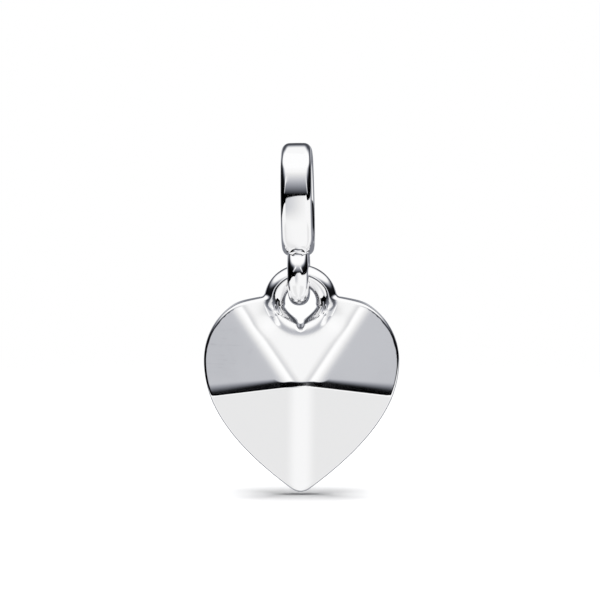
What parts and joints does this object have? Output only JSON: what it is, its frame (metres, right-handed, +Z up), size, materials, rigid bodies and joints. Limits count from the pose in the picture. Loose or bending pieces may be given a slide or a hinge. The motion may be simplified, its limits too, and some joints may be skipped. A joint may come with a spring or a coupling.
{
  "type": "dangle charm",
  "caption": "Polished silver dangle charm: a thick heart with flat facets hangs by a round eye from a bail made of an oval band and a small ring.",
  "frame": {"origin": "the seat at the top of the upper loop's opening, where the link or chain that carries the charm lies", "axes": "+Z up, against the pull of the hanging charm; X across the heart, along the link that it hangs on; the side shown in the picture faces -Y"},
  "size_m": [0.009, 0.0036, 0.0162],
  "materials": {
    "silver": "polished sterling silver, high shine, with fine handling marks"
  },
  "bodies": {
    "bail": {"bail": "silver"},
    "heart": {"heart": "silver"}
  },
  "joints": [
    {"name": "heart_swing", "type": "hinge", "parent": "bail", "child": "heart", "pos_m": [0.00017, 0, -0.00542], "axis": [1, 0, 0], "range_deg": [-90, 90]}
  ]
}
